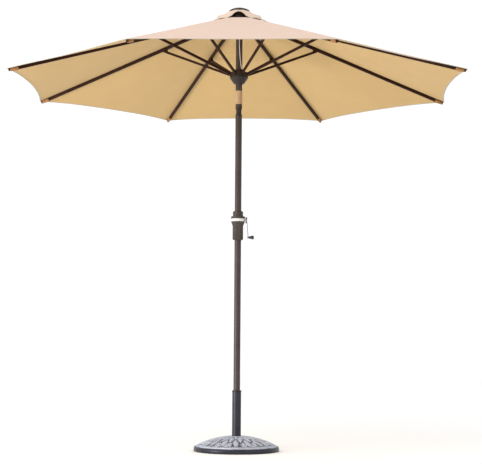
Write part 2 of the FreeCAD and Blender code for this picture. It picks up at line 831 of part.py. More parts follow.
def rib(name, angle):
    """One rib: a tube with a hinge plate at the crown, a strut bracket and a tip cap.

    Local X runs along it.
    """
    half = "rib_width / 2"
    low, high = "-rib_drop - rib_depth / 2", "-rib_drop + rib_depth / 2"
    outside = box(("rib_start", f"-{half}", low), ("rib_end", half, high))
    inside = box(
        ("rib_start - 1", f"rib_wall - {half}", f"{low} + rib_wall"),
        ("rib_end - 10", f"{half} - rib_wall", f"{high} - rib_wall"),
    )
    tip = box(
        ("rib_end - 1", f"1 - {half}", f"{low} + 2"),
        ("rib_tip", f"{half} - 1", f"{high} - 1"),
    )
    web = plate(
        "XZ_Plane",
        [
            ("0", "boss_radius"),
            ("rib_start", f"{high} - rib_wall"),
            ("rib_start + rib_plate_overlap", f"{high} - rib_wall"),
            ("rib_start + rib_plate_overlap", f"{low} + rib_wall"),
            ("rib_start - 13", f"{low} + rib_wall"),
            ("0", "-boss_radius"),
        ],
        "hinge_plate",
    )
    boss = cylinder("boss_radius", "hinge_plate", (0, "-hinge_plate / 2", 0), "y")
    cheeks = []
    for near, far in (
        (f"-{half} - bracket_sheet + 0.4", f"0.4 - {half}"),
        (f"{half} - 0.4", f"{half} + bracket_sheet - 0.4"),
    ):
        cheeks.append(
            box(
                ("pivot_along - bracket_length / 2", near, "-pivot_below + 1"),
                ("pivot_along + bracket_length / 2", far, f"{low} + 9"),
            )
        )
        start = ("pivot_along", near, "-pivot_below")
        cheeks.append(cylinder("bracket_radius", f"({far}) - ({near})", start, "y"))
    rivet = cylinder(
        "strut_pin_radius",
        "rib_width + 2 * bracket_sheet",
        ("pivot_along", f"-{half} - bracket_sheet", "-pivot_below"),
        "y",
    )
    hole = cylinder("ring_hole", "20", (0, -10, 0), "y")
    whole = cut(fused(cut(outside, inside), web, boss, tip, *cheeks, rivet), hole)
    hinge = placed(("ring_radius", 0, "crown_height"), ("0", "1", "0"), "slope")
    whole.setExpression("Placement", f"{placed(ORIGIN, None, angle)} * {hinge}")
    node(name, whole)


def strut(name, angle):
    """One strut: a tube with a plate end at the runner and a round end at the rib.

    Local X runs out to the rib.
    """
    half, deep = "strut_width / 2", "strut_depth / 2"
    outside = box(("strut_start", f"-{half}", f"-{deep}"), ("strut_length", half, deep))
    inside = box(
        ("strut_start - 1", f"strut_wall - {half}", f"strut_wall - {deep}"),
        ("strut_length - 14", f"{half} - strut_wall", f"{deep} - strut_wall"),
    )
    web = box(
        ("0", "-hinge_plate / 2", "1 - strut_depth / 2"),
        ("strut_start + 25", "hinge_plate / 2", "strut_depth / 2 - 1"),
    )
    filler = box(
        ("strut_start", "-hinge_plate / 2", f"strut_wall - {deep}"),
        ("strut_start + 25", "hinge_plate / 2", f"{deep} - strut_wall"),
    )
    boss = cylinder("boss_radius - 1", "hinge_plate", (0, "-hinge_plate / 2", 0), "y")
    end = cylinder("boss_radius - 1", "strut_width", ("strut_length", f"-{half}", 0), "y")
    ring_hole = cylinder("ring_hole", "20", (0, -10, 0), "y")
    pin_hole = cylinder("strut_pin_radius + running_gap", "20", ("strut_length", -10, 0), "y")
    whole = cut(fused(cut(outside, inside), web, filler, boss, end), ring_hole, pin_hole)
    whole.setExpression(
        "Placement",
        f"{placed(ORIGIN, None, angle)} * "
        f"{placed(('ring_radius', 0, 'runner_height'), ('0', '1', '0'), '-strut_slope')}",
    )
    node(name, whole)


def half_gore(side, inner, outer, sag, rise, apex):
    """One flat half gore, from a rib line to the middle of the gore, with its curved hem."""
    middle = side * 22.5
    across, along = f"sin({middle})", "cos(22.5)"

    def at_middle(reach):
        return (
            f"({reach}) * {along} + gore_gap * sin(22.5)",
            f"({reach}) * {across} - {side} * gore_gap * {along}",
        )

    corners = [
        (inner, "0"),
        (outer, "0"),
        at_middle(f"{outer} * cos(22.5)"),
        at_middle(f"{inner} * cos(22.5)"),
    ]
    outline = plate("XY_Plane", corners if side > 0 else corners[::-1], "10000")
    bow = f"(({outer} * sin(22.5)) ^ 2 + {sag} ^ 2) / (2 * {sag})"
    centre = f"{outer} * cos(22.5) - {sag} + {bow}"
    hem = cylinder(bow, "10000", (f"({centre}) * {along}", f"({centre}) * {across}", -5000))
    fall = placed(ORIGIN, ("0", "1", "0"), f"atan({rise} / cos(22.5))")
    lean = f"{placed((0, 0, apex), None, str(middle))} * {fall}"
    cloth = box(("0", f"-{outer}", "0"), (f"1.2 * {outer}", outer, "fabric_thickness"), lean)
    return cut(common(outline, cloth), hem)


def canopy(name, angle, open_side):
    """The cloth nearest one rib: two half gores, and the vent cap's two half gores above them.

    Every second gore of the vent cap is cut away at its hem as an air outlet, and the others are sewn down.
    """
    main = [
        half_gore(side, "canopy_opening", "canopy_radius", "canopy_hem_sag", "canopy_rise", "canopy_apex")
        for side in (-1, 1)
    ]
    sags = {open_side: "vent_hem_sag", -open_side: "vent_sewn_sag"}
    vent = [
        half_gore(side, "vent_inner", "vent_radius", sags[side], "vent_rise", "vent_apex")
        for side in (-1, 1)
    ]
    whole = group(*main, *vent)
    whole.setExpression("Placement", placed(ORIGIN, None, angle))
    node(name, whole)


def cord(name, route):
    """A taut round cord: straight runs, joined at each bend by an arc."""
    points = [Vector(*(number(v) for v in point)) for point in route]
    edges = []
    start = points[0]
    for before, bend, after in zip(points, points[1:], points[2:]):
        way_in, way_out = bend - before, after - bend
        turn = way_in.getAngle(way_out)
        run = min(way_in.Length, way_out.Length)
        back = 0.45 * run
        first = bend - way_in.normalize() * back
        last = bend + way_out.normalize() * back
        to_centre = (way_out - way_in).normalize()
        radius = back / tangent(turn / 2)
        middle = bend + to_centre * (radius / cosine(turn / 2) - radius)
        edges.append(Part.LineSegment(start, first).toShape())
        edges.append(Part.Arc(first, middle, last).toShape())
        print(f"{name}: bend radius {radius:.0f} mm")
        start = last
    edges.append(Part.LineSegment(start, points[-1]).toShape())
    path = Part.Wire(edges)
    way = (points[1] - points[0]).normalize()
    section = Part.Wire([Part.Circle(points[0], way, number("cord_radius")).toShape()])
    solid = path.makePipeShell([section], True, True)
    piece = doc.addObject("Part::Feature", "cord")
    piece.Shape = solid
    print(f"{name}: {path.Length:.0f} mm long")
    node(name, piece)


def tangent(angle):
    return number(f"tan({angle} * 180 / 3.14159265358979)")


def cosine(angle):
    return number(f"cos({angle} * 180 / 3.14159265358979)")


def cords():
    """The lift cord: up inside the pole, over the pulley, and down the front to the runner."""
    lead = "-drum_reach"
    cord("lift_cord_lower", [("0", lead, "crank_height"), ("0", lead, "tilt_low - 1")])
    cord("lift_cord_upper", [("0", lead, "tilt_high + 1"), ("0", "0", "pulley_height")])
    front = "-2 * pulley_forward"
    cord(
        "lift_cord_run",
        [
            ("0", front, "pulley_height"),
            ("-1", front, "runner_top + cord_bend_height"),
            ("cord_knot", f"1 + {front}", "runner_top + 0.8"),
        ],
    )


base()
pole()
housing()
crank()
tilt()
upper_pole()
pulley()
runner()
for number_of_rib in range(1, 9):
    bearing = str(45 * number_of_rib - 112.5)
    rib(f"rib_{number_of_rib}", bearing)
    strut(f"strut_{number_of_rib}", bearing)
    canopy(f"canopy_{number_of_rib}", bearing, -1 if number_of_rib % 2 else 1)
cords()
doc.recompute()

for thing in doc.Objects:
    if {"Invalid", "Error"} & set(thing.State):
        raise RuntimeError(f"{thing.Name} in {thing.Label} failed: {thing.State}")
for name, thing in nodes.items():
    if thing.Shape.isNull() or not thing.Shape.isValid() or thing.Shape.Volume <= 0:
        raise RuntimeError(f"{name} has no valid shape")

os.makedirs("parts", exist_ok=True)
for name, thing in nodes.items():
    thing.Shape.exportStep(f"parts/{name}.step")
print(len(nodes), "sub-parts")
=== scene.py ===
"""A crank-lift patio umbrella on a round cast stand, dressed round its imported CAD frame.

Metres, +Z up. The front is -Y, and the crank is on the +X side.
"""

import json
import math
from collections import namedtuple

import bpy
import numpy as np
from mathutils import Matrix, Vector


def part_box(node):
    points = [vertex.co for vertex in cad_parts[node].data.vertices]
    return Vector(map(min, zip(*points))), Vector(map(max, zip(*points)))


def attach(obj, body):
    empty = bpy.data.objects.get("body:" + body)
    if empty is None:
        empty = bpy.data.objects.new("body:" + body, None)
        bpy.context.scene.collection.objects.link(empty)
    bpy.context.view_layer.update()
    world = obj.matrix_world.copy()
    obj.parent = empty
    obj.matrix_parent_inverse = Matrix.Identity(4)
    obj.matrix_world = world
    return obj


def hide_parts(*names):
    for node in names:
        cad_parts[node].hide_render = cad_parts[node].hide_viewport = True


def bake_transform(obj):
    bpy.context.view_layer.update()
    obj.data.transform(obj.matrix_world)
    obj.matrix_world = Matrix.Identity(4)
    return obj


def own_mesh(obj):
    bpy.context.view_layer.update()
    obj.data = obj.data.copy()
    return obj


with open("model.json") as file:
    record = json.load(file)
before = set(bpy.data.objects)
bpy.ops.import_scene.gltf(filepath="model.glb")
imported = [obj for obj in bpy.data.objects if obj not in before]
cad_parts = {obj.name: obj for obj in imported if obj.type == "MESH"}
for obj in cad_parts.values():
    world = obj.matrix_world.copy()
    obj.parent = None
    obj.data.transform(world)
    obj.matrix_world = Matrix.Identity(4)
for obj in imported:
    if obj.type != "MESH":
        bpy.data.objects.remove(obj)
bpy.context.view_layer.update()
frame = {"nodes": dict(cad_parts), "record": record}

# ---------------------------------------------------------------- sizes, from the frame

RIBS = range(1, 9)
HALF_GORE = math.radians(22.5)
TAN_GORE = math.tan(HALF_GORE)
POLE_RADIUS = (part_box("lower_pole")[1][0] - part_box("lower_pole")[0][0]) / 2

RISE = 0.31  # how steeply the rib lines of the canopy climb
CANOPY_RADIUS = 1.350
CANOPY_APEX = 2.507
CANOPY_OPENING = 0.140
HEM_SAG = 0.040
VENT_RISE = 0.628
VENT_APEX = 2.563
VENT_RADIUS = 0.178
VENT_INNER = 0.057
VENT_SAG = 0.046
SEWN_SAG = 0.012
SEAM_HALF = 0.012  # half the strip over a rib, which doesn't crumple
STRIP_COLUMNS = 5
CLOTH = 0.0008
BINDING_THICKNESS = 0.0034
AREA_WEDGES = 60  # how finely a gore's area and width are summed
WIDTH_STEPS = 40


def bearing(rib):
    """The direction of a rib, as an angle from +X."""
    return math.radians(45 * rib - 112.5)


def outward(rib):
    return Vector((math.cos(bearing(rib)), math.sin(bearing(rib)), 0))


def sideways(rib):
    return Vector((-math.sin(bearing(rib)), math.cos(bearing(rib)), 0))


def rib_point(rib, along, across, height):
    """A point from its distance out along a rib, its distance to the side and its height."""
    return outward(rib) * along + sideways(rib) * across + Vector((0, 0, height))


def neighbours(places, i):
    """The way along a row of places at one of them, from the one before to the one after."""
    return places[min(i + 1, len(places) - 1)] - places[max(i - 1, 0)]


# ---------------------------------------------------------------- materials


class Shader:
    """A node material under construction: a principled shader and short ways to feed it."""

    def __init__(self, name, colour, roughness=0.5, metallic=0.0):
        self.material = bpy.data.materials.new(name)
        self.material.use_nodes = True
        self.tree = self.material.node_tree
        self.principled = self.tree.nodes["Principled BSDF"]
        self.principled.inputs["Base Color"].default_value = (*colour, 1)
        self.principled.inputs["Roughness"].default_value = roughness
        self.principled.inputs["Metallic"].default_value = metallic
        self.place = self.node("ShaderNodeTexCoord").outputs["Object"]
        self.normal = None

    def node(self, kind, **values):
        made = self.tree.nodes.new(kind)
        for key, value in values.items():
            if key in made.inputs:
                made.inputs[key].default_value = value
            else:
                setattr(made, key, value)
        return made

    def link(self, output, socket):
        self.tree.links.new(output, socket)

    def scaled(self, scale):
        """The object's own coordinates, stretched along each axis."""
        mapping = self.node("ShaderNodeMapping")
        mapping.inputs["Scale"].default_value = scale
        self.link(self.place, mapping.inputs["Vector"])
        return mapping.outputs["Vector"]

    def noise(self, scale, detail=4.0, stretch=(1, 1, 1)):
        texture = self.node("ShaderNodeTexNoise", Scale=scale, Detail=detail)
        self.link(self.scaled(stretch), texture.inputs["Vector"])
        return texture.outputs["Fac"]

    def wave(self, scale, direction, stretch=(1, 1, 1), distortion=0.0):
        texture = self.node("ShaderNodeTexWave", Scale=scale, Distortion=distortion)
        texture.bands_direction = direction
        self.link(self.scaled(stretch), texture.inputs["Vector"])
        return texture.outputs["Fac"]

    def ramp(self, source, stops):
        ramp = self.node("ShaderNodeValToRGB")
        elements = ramp.color_ramp.elements
        while len(elements) < len(stops):
            elements.new(0.5)
        for element, (position, colour) in zip(elements, stops):
            element.position = position
            element.color = (*colour, 1)
        self.link(source, ramp.inputs["Fac"])
        return ramp.outputs["Color"]

    def colour(self, source, stops):
        self.link(self.ramp(source, stops), self.principled.inputs["Base Color"])

    def roughness(self, source, low, high):
        spread = self.node("ShaderNodeMapRange")
        spread.inputs["To Min"].default_value = low
        spread.inputs["To Max"].default_value = high
        self.link(source, spread.inputs["Value"])
        self.link(spread.outputs["Result"], self.principled.inputs["Roughness"])

    def product(self, first, second, operation="MULTIPLY"):
        maths = self.node("ShaderNodeMath", operation=operation)
        self.link(first, maths.inputs[0])
        self.link(second, maths.inputs[1])
        return maths.outputs[0]

    def bump(self, height, depth, strength=1.0):
        bump = self.node("ShaderNodeBump", Strength=strength, Distance=depth)
        self.link(height, bump.inputs["Height"])
        if self.normal:
            self.link(self.normal, bump.inputs["Normal"])
        self.normal = bump.outputs["Normal"]
        self.link(self.normal, self.principled.inputs["Normal"])


def shade(colour, factor):
    return tuple(min(1.0, c * factor) for c in colour)


def cloth_material(name, colour, sheen=0.06):
    """Woven polyester: fine crossed threads, a slight mottle and a soft sheen."""
    s = Shader(name, colour, 0.85)
    s.colour(s.noise(7.0, 5.0), [(0.3, shade(colour, 0.98)), (0.7, shade(colour, 1.015))])
    threads = s.product(s.wave(260, "X"), s.wave(260, "Y"), "MAXIMUM")
    s.bump(threads, 0.0003, 0.35)
    s.bump(s.noise(14.0, 3.0), 0.004, 0.25)
    s.principled.inputs["Sheen Weight"].default_value = sheen
    s.principled.inputs["Sheen Roughness"].default_value = 0.5
    s.principled.inputs["Specular IOR Level"].default_value = 0.2
    return s.material


def powder_coat(name, colour, roughness=0.42, metallic=0.35, grain=420.0, specular=0.3):
    """Textured powder coat: a fine pebble, with faint patches of tone and gloss."""
    s = Shader(name, colour, roughness, metallic)
    s.colour(s.noise(11.0, 6.0), [(0.3, shade(colour, 0.82)), (0.75, shade(colour, 1.2))])
    s.roughness(s.noise(30.0, 4.0), roughness - 0.08, roughness + 0.1)
    s.bump(s.noise(grain, 3.0), 0.0004, 0.3)
    s.principled.inputs["Specular IOR Level"].default_value = specular
    return s.material


def plastic(name, colour, roughness=0.45, grain=650.0):
    """Moulded plastic with a fine spark-eroded grain."""
    s = Shader(name, colour, roughness)
    s.colour(s.noise(25.0, 3.0), [(0.35, shade(colour, 0.9)), (0.7, shade(colour, 1.1))])
    s.roughness(s.noise(60.0, 2.0), roughness - 0.05, roughness + 0.08)
    s.bump(s.noise(grain, 2.0), 0.0002, 0.25)
    s.principled.inputs["Specular IOR Level"].default_value = 0.3
    return s.material


def bright_metal(name, colour, roughness=0.2, brushed=(1, 1, 30)):
    """Plated or polished metal with fine drawn lines and faint smears."""
    s = Shader(name, colour, roughness, 1.0)
    s.roughness(s.noise(18.0, 4.0), roughness * 0.7, roughness * 1.5)
    s.bump(s.noise(300.0, 2.0, brushed), 0.0001, 0.2)
    s.colour(s.noise(9.0, 3.0), [(0.3, shade(colour, 0.9)), (0.7, colour)])
    return s.material


def cast_material():
    """Pewter casting, painted dark in its low parts as painted shade in the recesses and pale on its
    raised parts as painted highlight.
    """
    recess_shade, pewter = (0.055, 0.063, 0.088), (0.50, 0.54, 0.64)
    s = Shader("antique_pewter", pewter, 0.5, 0.45)
    relief = s.node("ShaderNodeAttribute", attribute_name="relief").outputs["Fac"]
    mottle = s.noise(55.0, 6.0)
    tone = s.product(relief, mottle, "ADD")
    # painted shade in the low parts of the relief, painted highlight on its raised parts
    s.colour(tone, [(0.38, recess_shade), (0.72, shade(pewter, 0.5)), (1.0, pewter)])
    s.roughness(s.noise(80.0, 3.0), 0.38, 0.62)
    s.bump(s.noise(140.0, 5.0), 0.0012, 0.35)
    return s.material


def cord_material():
    """Braided white cord, painted darker between its strands as painted shade in the grooves."""
    s = Shader("braided_cord", (0.80, 0.77, 0.70), 0.8)
    strands = s.product(s.wave(150, "DIAGONAL"), s.wave(150, "Z"), "MAXIMUM")
    # painted shade: the cord is darker where the strands dip
    s.colour(strands, [(0.2, (0.52, 0.49, 0.43)), (0.7, (0.84, 0.81, 0.74))])
    s.bump(strands, 0.0006, 0.6)
    return s.material


# The canopy's top and underside are one fabric in two colours: the underside is darker and deeper as
# painted shade, and the top is lighter and pinker as painted light.
UNDERSIDE_PAINTED_SHADE = cloth_material("canopy_cloth_inner", (0.52, 0.35, 0.15))
# The vent cap's underside is darker still: painted shade for the dark space under the cap.
VENT_UNDERSIDE_PAINTED_SHADE = cloth_material("vent_cloth_inner", (0.22, 0.10, 0.035))
TOP_PAINTED_LIGHT = cloth_material("canopy_cloth_outer", (0.645, 0.485, 0.395))
POCKET = cloth_material("pocket_cloth", (0.32, 0.165, 0.065))
BINDING = cloth_material("hem_binding", (0.42, 0.36, 0.28))
STRAP = cloth_material("strap_cloth", (0.46, 0.31, 0.18))
BRONZE = powder_coat("bronze_coat", (0.055, 0.040, 0.037), 0.42, 0.15)
RIB_COAT = powder_coat("dark_rib_coat", (0.028, 0.0095, 0.005), 0.55, 0.0, specular=0.12)
CHARCOAL = powder_coat("charcoal_coat", (0.022, 0.024, 0.034), 0.36, 0.2)
CASTING = powder_coat("bronze_casting", (0.030, 0.021, 0.017), 0.50, 0.1, 250.0)
BRONZE_PLASTIC = plastic("bronze_plastic", (0.050, 0.040, 0.034), 0.40)
BROWN_PLASTIC = plastic("brown_plastic", (0.020, 0.013, 0.010), 0.42)
BLACK_PLASTIC = plastic("black_plastic", (0.012, 0.012, 0.013), 0.48)
GREY_PLASTIC = plastic("grey_plastic", (0.035, 0.035, 0.038), 0.42)
WHITE_PLASTIC = plastic("white_plastic", (0.72, 0.72, 0.70), 0.32)
ZINC = bright_metal("zinc_plate", (0.55, 0.56, 0.58), 0.32)
CRANK_STEEL = bright_metal("crank_steel", (0.27, 0.28, 0.30), 0.34)
PEWTER = cast_material()
CORD = cord_material()

NODE_FINISH = {
    "cast_base": PEWTER,
    "charcoal_metal": CHARCOAL,
    "bronze_metal": BRONZE,
    "dark_rib_metal": RIB_COAT,
    "bronze_casting": CASTING,
    "bronze_plastic": BRONZE_PLASTIC,
    "brown_plastic": BROWN_PLASTIC,
    "black_plastic": BLACK_PLASTIC,
    "grey_plastic": GREY_PLASTIC,
    "white_plastic": WHITE_PLASTIC,
    "zinc_steel": ZINC,
    "polished_steel": CRANK_STEEL,
    "canopy_cloth": UNDERSIDE_PAINTED_SHADE,
    "cord": CORD,
}


def dress_cad():
    """Gives every CAD node the finish of its record slot."""
    for part in frame["record"]["subparts"]:
        finish = NODE_FINISH[part["material_slot"]]
        if part["node"] == "tilt_pin":  # its end is painted with the pole
            finish = BRONZE
        data = frame["nodes"][part["node"]].data
        data.materials.clear()
        data.materials.append(finish)


# ---------------------------------------------------------------- mesh building


def new_piece(name, points, faces, body, slot, *materials):
    """A smooth-shaded mesh piece that rides on a body, if it is given one."""
    mesh = bpy.data.meshes.new(name)
    mesh.from_pydata([tuple(p) for p in points], [], faces)
    mesh.validate()
    mesh.polygons.foreach_set("use_smooth", [True] * len(mesh.polygons))
    for material in materials:
        mesh.materials.append(material)
    piece = bpy.data.objects.new(name, mesh)
    bpy.context.scene.collection.objects.link(piece)
    if body:
        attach(piece, body)
    return piece


def grid_faces(rows, columns, closed=False):
    """Quads over rows x columns points, joined round in the column direction if closed."""
    faces = []
    for i in range(rows - 1):
        here, there = i * columns, (i + 1) * columns
        for j in range(columns if closed else columns - 1):
            k = (j + 1) % columns
            faces.append((here + j, here + k, there + k, there + j))
    return faces


def thicken(piece, thickness, outer_slot=1):
    """Gives a sheet its thickness, with its other side in its own material."""
    solid = piece.modifiers.new("cloth", "SOLIDIFY")
    solid.thickness = thickness
    solid.offset = 1.0
    solid.use_rim = False
    solid.material_offset = outer_slot
    return piece


def capped(faces, total, count):
    """The faces of a sweep of total points, with its first and last rings of count points closed."""
    return [*faces, tuple(range(count))[::-1], tuple(range(total - count, total))]


def swept(centres, frames, section, closed_ends=True):
    """Points and faces of a section carried along a line. Each frame is a pair of directions."""
    points = []
    for centre, (first, second) in zip(centres, frames):
        points += [centre + first * a + second * b for a, b in section]
    count = len(section)
    faces = grid_faces(len(centres), count, closed=True)
    if closed_ends:
        faces = capped(faces, len(points), count)
    return points, faces


def oval(width, height, count=10):
    """The points of an ellipse, as a section to sweep."""
    turns = [2 * math.pi * i / count for i in range(count)]
    return [(width / 2 * math.cos(turn), height / 2 * math.sin(turn)) for turn in turns]


# ---------------------------------------------------------------- canopy


class Gore:
    """The shape of one tier of the canopy between a rib line and the middle of a gore.

    The apex is where the rib lines would meet, the inner and outer radii are along the ribs, and the
    sag is how far the hem is cut in between them. The cloth hangs by the hollow, stands up by the lift
    towards its hem, and ripples.
    """

    def __init__(self, apex, rise, inner, outer, sag, hollow, lift, ripple):
        self.apex, self.rise, self.inner, self.outer = apex, rise, inner, outer
        self.hollow, self.lift, self.ripple = hollow, lift, ripple
        half_chord = outer * math.sin(HALF_GORE)
        self.bow = (half_chord**2 + sag**2) / (2 * sag)
        self.centre = outer * math.cos(HALF_GORE) - sag + self.bow

    def hem(self, angle):
        """How far out the hem is, at an angle from the rib."""
        off = HALF_GORE - angle
        return self.centre * math.cos(off) - math.sqrt(self.bow**2 - (self.centre * math.sin(off)) ** 2)

    def mouth(self, angle):
        """How far out the inner edge is, at an angle from the rib."""
        return self.inner * math.cos(HALF_GORE) / math.cos(HALF_GORE - angle)

    def seam_angle(self, edge):
        """The angle at which the strip over the rib meets an edge."""
        angle = 0.0
        for _ in range(20):
            angle = math.asin(SEAM_HALF / edge(angle))
        return angle

    def height(self, along, across):
        """The cloth's height, a little hollow between its ribs and faintly rippled."""
        side = abs(across)
        flat = self.apex - self.rise * along - self.rise * TAN_GORE * side
        share = min(1.0, max(0.0, side - SEAM_HALF) / max(1e-6, along * TAN_GORE - SEAM_HALF))
        out = (along - self.inner) / (self.outer - self.inner)
        slack = 1 - (1 - share) ** 2
        flat -= self.hollow * slack * math.sin(math.pi * min(1.0, max(0.0, out)) ** 1.3)
        flat += self.lift * slack * min(1.0, max(0.0, out) * 1.7)
        waves = math.sin(out * 19 + 2.0) * math.sin(math.pi * share) ** 2
        waves += 0.7 * math.cos(3 * math.pi * share) * math.sin(math.pi * out) * math.sin(out * 7)
        return flat + self.ripple * waves * max(0.0, min(1.0, out * 3))

    def point(self, rib, along, across):
        return rib_point(rib, along, across, self.height(along, across))

    def column(self, edge, angle):
        reach = edge(angle)
        return reach * math.cos(angle), reach * math.sin(angle)

    def wing(self, rib, side, rows, columns):
        """The points of a half gore, from the rib's strip to the middle of the gore."""
        starts, ends = [], []
        low, high = self.seam_angle(self.mouth), self.seam_angle(self.hem)
        for j in range(columns):
            share = j / (columns - 1)
            starts.append(self.column(self.mouth, low + (HALF_GORE - low) * share))
            ends.append(self.column(self.hem, high + (HALF_GORE - high) * share))
        points = []
        for i in range(rows):
            part = i / (rows - 1)
            for (u0, t0), (u1, t1) in zip(starts, ends):
                points.append(self.point(rib, u0 + (u1 - u0) * part, side * (t0 + (t1 - t0) * part)))
        return points

    def strip(self, other, rib, rows, columns):
        """The points of the strip over a rib, with this gore on its left and the other on its right."""
        points = []
        for i in range(rows):
            part = i / (rows - 1)
            for j in range(columns):
                across = SEAM_HALF * (2 * j / (columns - 1) - 1)
                gore = self if across > 0 else other
                share = abs(across) / SEAM_HALF
                low = gore.seam_angle(gore.mouth) * share
                high = gore.seam_angle(gore.hem) * share
                start, end = gore.column(gore.mouth, low)[0], gore.column(gore.hem, high)[0]
                points.append(gore.point(rib, start + (end - start) * part, across))
        return points

    def half_area(self):
        """The flat area of a half gore, summed in thin wedges."""
        slope = math.sqrt(1 + (self.rise / math.cos(HALF_GORE)) ** 2)
        step = HALF_GORE / AREA_WEDGES
        middles = [step * (i + 0.5) for i in range(AREA_WEDGES)]
        return slope * sum((self.hem(a) ** 2 - self.mouth(a) ** 2) / 2 * step for a in middles)

    def half_width(self):
        """The widest distance from the rib line to the hem of a half gore."""
        angles = [HALF_GORE * i / WIDTH_STEPS for i in range(WIDTH_STEPS + 1)]
        return max(self.hem(angle) * math.sin(angle) for angle in angles)

    def length(self):
        """The flat length of a half gore along its rib."""
        return (self.outer - self.inner) * math.sqrt(1 + self.rise**2)


MAIN = Gore(CANOPY_APEX, RISE, CANOPY_OPENING, CANOPY_RADIUS, HEM_SAG, 0.007, 0.0, 0.0009)
VENT_OPEN = Gore(VENT_APEX, VENT_RISE, VENT_INNER, VENT_RADIUS, VENT_SAG, 0.0, 0.026, 0.0003)
VENT_SEWN = Gore(VENT_APEX, VENT_RISE, VENT_INNER, VENT_RADIUS, SEWN_SAG, 0.0, 0.003, 0.0003)


def crumple(piece):
    """Gives a piece its own copy of its mesh."""
    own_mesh(piece)


def hem_binding(name, gores, rib, angles, width, body):
    """A narrow folded tape sewn round a hem. The gores are those left and right of the rib."""
    centres = []
    for angle in angles:
        gore = gores[0] if angle > 0 else gores[1]
        reach = gore.hem(abs(angle)) - width * 0.4
        centre = gore.point(rib, reach * math.cos(angle), reach * math.sin(angle))
        centres.append(centre + Vector((0, 0, CLOTH / 2)))
    slope = (outward(rib) - Vector((0, 0, gores[0].rise))).normalized()
    frames = []
    for i in range(len(centres)):
        way = neighbours(centres, i)
        up = way.cross(slope).normalized()
        frames.append((up.cross(way).normalized(), up))
    section = oval(width, BINDING_THICKNESS)
    points, faces = swept(centres, frames, section, closed_ends=False)
    return new_piece(name, points, faces, body, "canopy_cloth", BINDING)


# a layer of the canopy: the gores left and right of the rib, the cloth below, the rows and
# columns of a half gore, the share of its width kept when folded, and the width of its hem tape
Tier = namedtuple("Tier", "name left right under rows columns keep tape")


def build_strip(tier, rib):
    """The strip of cloth over a rib, which stays flat when the canopy folds, with its hem tape."""
    body = f"rib_{rib}_body"
    strip = new_piece(
        f"{tier.name}_strip_{rib}",
        tier.left.strip(tier.right, rib, tier.rows, STRIP_COLUMNS),
        grid_faces(tier.rows, STRIP_COLUMNS),
        body,
        "canopy_cloth",
        TOP_PAINTED_LIGHT,
        tier.under,
    )
    strip.data.flip_normals()
    thicken(strip, CLOTH)
    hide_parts(f"canopy_{rib}")
    size = (2 * SEAM_HALF, tier.left.length())
    left, right = tier.left, tier.right
    angles = (-right.seam_angle(right.hem), 0, left.seam_angle(left.hem))
    hem_binding(f"{tier.name}_hem_{rib}", (left, right), rib, angles, tier.tape, body)


def build_wing(tier, rib, side):
    """The half gore on one side of a rib, with its hem tape."""
    body = f"rib_{rib}_body"
    word, gore = ("left", tier.left) if side > 0 else ("right", tier.right)
    wing = new_piece(
        f"{tier.name}_{word}_{rib}",
        gore.wing(rib, side, tier.rows, tier.columns),
        grid_faces(tier.rows, tier.columns),
        body,
        "canopy_cloth",
        TOP_PAINTED_LIGHT,
        tier.under,
    )
    if side > 0:
        wing.data.flip_normals()
    thicken(wing, CLOTH)
    crumple(wing)
    gore.half_width()
    gore.length()
    gore.half_area()
    low = gore.seam_angle(gore.hem)
    last = tier.columns - 1
    angles = [side * (low + (HALF_GORE - low) * j / last) for j in range(tier.columns)]
    gores = (tier.left, tier.right)
    tape = hem_binding(f"{tier.name}_hem_{word}_{rib}", gores, rib, angles, tier.tape, body)
    crumple(tape)


def build_canopy():
    """Eight gores in two tiers, each half gore on its rib, with bound hems and seams.

    Every second gore of the vent cap is open at its hem, and the others are sewn down.
    """
    for rib in RIBS:
        left, right = (VENT_SEWN, VENT_OPEN) if rib % 2 else (VENT_OPEN, VENT_SEWN)
        for tier in (
            Tier("canopy", MAIN, MAIN, UNDERSIDE_PAINTED_SHADE, 46, 18, 0.038, 0.009),
            Tier("vent", left, right, VENT_UNDERSIDE_PAINTED_SHADE, 14, 10, 0.12, 0.006),
        ):
            build_strip(tier, rib)
            build_wing(tier, rib, 1)
            build_wing(tier, rib, -1)


POCKET_BACK = 0.060  # how far behind the rib's tip a pocket starts
POCKET_LENGTH = 0.046
POCKET_DROP = 0.0125  # its middle, below the line of the cloth
POCKET_WIDTH = 0.022
POCKET_DEPTH = 0.0215
POCKET_TAPER = 0.30


def build_pockets():
    """The sewn pocket that holds each rib's tip."""
    rings, sides = 9, 14
    low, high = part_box("rib_2")
    tip = math.hypot(high[0], low[1])
    slope = Vector((1, 0, -RISE)).normalized()
    section = oval(POCKET_WIDTH, POCKET_DEPTH, sides)
    for rib in RIBS:
        way = outward(rib) * slope.x + Vector((0, 0, slope.z))
        across = sideways(rib)
        up = across.cross(way) * -1
        points = []
        for i in range(rings):
            part = i / (rings - 1)
            along = tip - POCKET_BACK + POCKET_LENGTH * part
            centre = rib_point(rib, along, 0, CANOPY_APEX - RISE * along - POCKET_DROP)
            size = 1.0 - POCKET_TAPER * part**2
            points += [centre + across * x * size + up * y * size for x, y in section]
        faces = capped(grid_faces(rings, sides, closed=True), len(points), sides)
        new_piece(f"rib_pocket_{rib}", points, faces, f"rib_{rib}_body", "canopy_cloth", POCKET)


# ---------------------------------------------------------------- cord and strap

CORD_ROUTE = [(0.0, -0.023, 2.468), (-0.001, -0.023, 2.262), (0.016, -0.022, 2.1858)]
CORD_RADIUS = 0.00175


